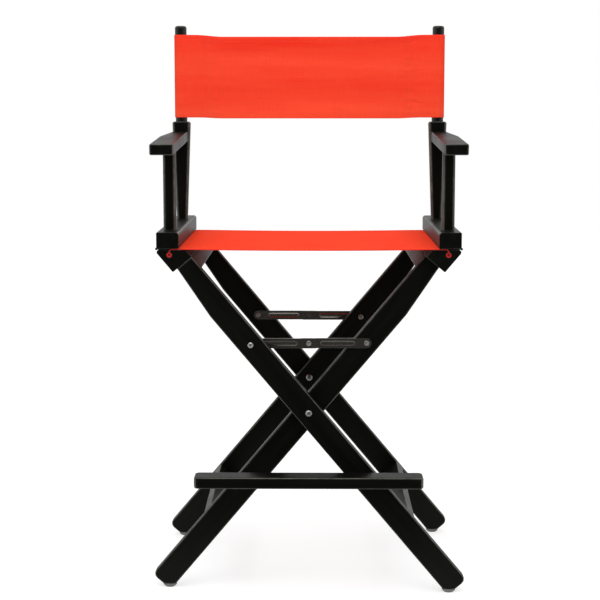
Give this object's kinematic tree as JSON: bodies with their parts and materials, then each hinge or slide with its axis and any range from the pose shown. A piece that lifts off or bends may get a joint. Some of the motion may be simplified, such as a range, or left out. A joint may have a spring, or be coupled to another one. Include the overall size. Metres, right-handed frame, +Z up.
{
  "type": "directors chair",
  "caption": "Folding directors chair of counter height with crossed wooden legs, armrests, canvas seat and back, folding steel braces and a hinged footrest.",
  "frame": {"origin": "on the floor, below the middle of the whole chair's width and depth", "axes": "+X to the right as seen from the front, +Y to the rear, so the front looks toward -Y, +Z up"},
  "size_m": [0.5488, 0.4476, 1.002],
  "materials": {
    "black_wood": "black lacquer, semi-gloss",
    "canvas": "plain woven cotton canvas, orange red",
    "bright_steel": "bright zinc plating",
    "brace_steel": "dark plated steel, satin",
    "nylon": "grey nylon",
    "glide": "grey nylon, smooth"
  },
  "bodies": {
    "centre_pivots": {"pivot_bolts": "bright_steel", "pivot_spacers": "nylon", "pivot_cap_nuts": "bright_steel", "seat_canvas": "canvas", "back_canvas": "canvas"},
    "outer_leg_frame": {"outer_front_leg": "black_wood", "outer_rear_leg": "black_wood", "outer_top_rail": "black_wood", "outer_upper_stretcher": "black_wood", "outer_lower_stretcher": "black_wood", "outer_glides": "glide", "outer_brace_bolts": "bright_steel", "outer_brace_washers": "bright_steel", "left_rail_hinge_leaves": "bright_steel", "left_seat_dowel": "black_wood"},
    "inner_leg_frame": {"inner_front_leg": "black_wood", "inner_rear_leg": "black_wood", "inner_top_rail": "black_wood", "inner_upper_stretcher": "black_wood", "inner_lower_stretcher": "black_wood", "inner_glides": "glide", "inner_brace_bolts": "bright_steel", "inner_brace_washers": "bright_steel", "right_rail_hinge_leaves": "bright_steel", "right_seat_dowel": "black_wood", "footrest_peg": "bright_steel"},
    "left_arm": {"left_arm_rail": "black_wood", "left_front_post": "black_wood", "left_rear_post": "black_wood", "left_armrest": "black_wood", "left_stick": "black_wood", "left_arm_hinge_leaves": "bright_steel", "left_hinge_pins": "bright_steel"},
    "right_arm": {"right_arm_rail": "black_wood", "right_front_post": "black_wood", "right_rear_post": "black_wood", "right_armrest": "black_wood", "right_stick": "black_wood", "right_arm_hinge_leaves": "bright_steel", "right_hinge_pins": "bright_steel"},
    "front_left_brace": {"front_left_brace_link": "brace_steel", "front_left_brace_rivet": "bright_steel"},
    "front_right_brace": {"front_right_brace_link": "brace_steel", "front_right_brace_rivet": "bright_steel"},
    "rear_left_brace": {"rear_left_brace_link": "brace_steel", "rear_left_brace_rivet": "bright_steel"},
    "rear_right_brace": {"rear_right_brace_link": "brace_steel", "rear_right_brace_rivet": "bright_steel"},
    "footrest": {"footrest_board": "black_wood", "footrest_bolt": "bright_steel", "footrest_spacer": "bright_steel"}
  },
  "joints": [
    {"name": "fold", "type": "hinge", "parent": "centre_pivots", "child": "outer_leg_frame", "pos_m": [0, 0.0222, 0.322], "axis": [0, 1, 0], "range_deg": [0, 34], "deforming": ["seat_canvas", "back_canvas"]},
    {"name": "inner_fold", "type": "hinge", "parent": "centre_pivots", "child": "inner_leg_frame", "pos_m": [0, 0.0222, 0.322], "axis": [0, 1, 0], "range_deg": [-34, 0]},
    {"name": "left_arm_hinge", "type": "hinge", "parent": "outer_leg_frame", "child": "left_arm", "pos_m": [-0.2627, 0.0222, 0.609], "axis": [0, 1, 0], "range_deg": [-34, 0]},
    {"name": "right_arm_hinge", "type": "hinge", "parent": "inner_leg_frame", "child": "right_arm", "pos_m": [0.2627, 0.0222, 0.609], "axis": [0, 1, 0], "range_deg": [0, 34]},
    {"name": "front_left_brace_pivot", "type": "hinge", "parent": "outer_leg_frame", "child": "front_left_brace", "pos_m": [-0.10092, -0.1528, 0.44227], "axis": [0, 1, 0], "range_deg": [-114.65, 0]},
    {"name": "front_right_brace_pivot", "type": "hinge", "parent": "inner_leg_frame", "child": "front_right_brace", "pos_m": [0.10092, -0.1528, 0.44227], "axis": [0, 1, 0], "range_deg": [0, 114.65]},
    {"name": "rear_left_brace_pivot", "type": "hinge", "parent": "outer_leg_frame", "child": "rear_left_brace", "pos_m": [-0.10092, 0.1972, 0.44227], "axis": [0, 1, 0], "range_deg": [-114.65, 0]},
    {"name": "rear_right_brace_pivot", "type": "hinge", "parent": "inner_leg_frame", "child": "rear_right_brace", "pos_m": [0.10092, 0.1972, 0.44227], "axis": [0, 1, 0], "range_deg": [0, 114.65]},
    {"name": "footrest_pivot", "type": "hinge", "parent": "outer_leg_frame", "child": "footrest", "pos_m": [0.09483, 0.0222, 0.209], "axis": [0, 1, 0], "range_deg": [0, 50]}
  ],
  "couplings": [
    {"joint": "inner_fold", "follows": "fold", "ratio": -1},
    {"joint": "left_arm_hinge", "follows": "fold", "ratio": -1},
    {"joint": "right_arm_hinge", "follows": "fold", "ratio": 1},
    {"joint": "front_left_brace_pivot", "follows": "fold", "ratio": -3.372},
    {"joint": "front_right_brace_pivot", "follows": "fold", "ratio": 3.372},
    {"joint": "rear_left_brace_pivot", "follows": "fold", "ratio": -3.372},
    {"joint": "rear_right_brace_pivot", "follows": "fold", "ratio": 3.372}
  ]
}
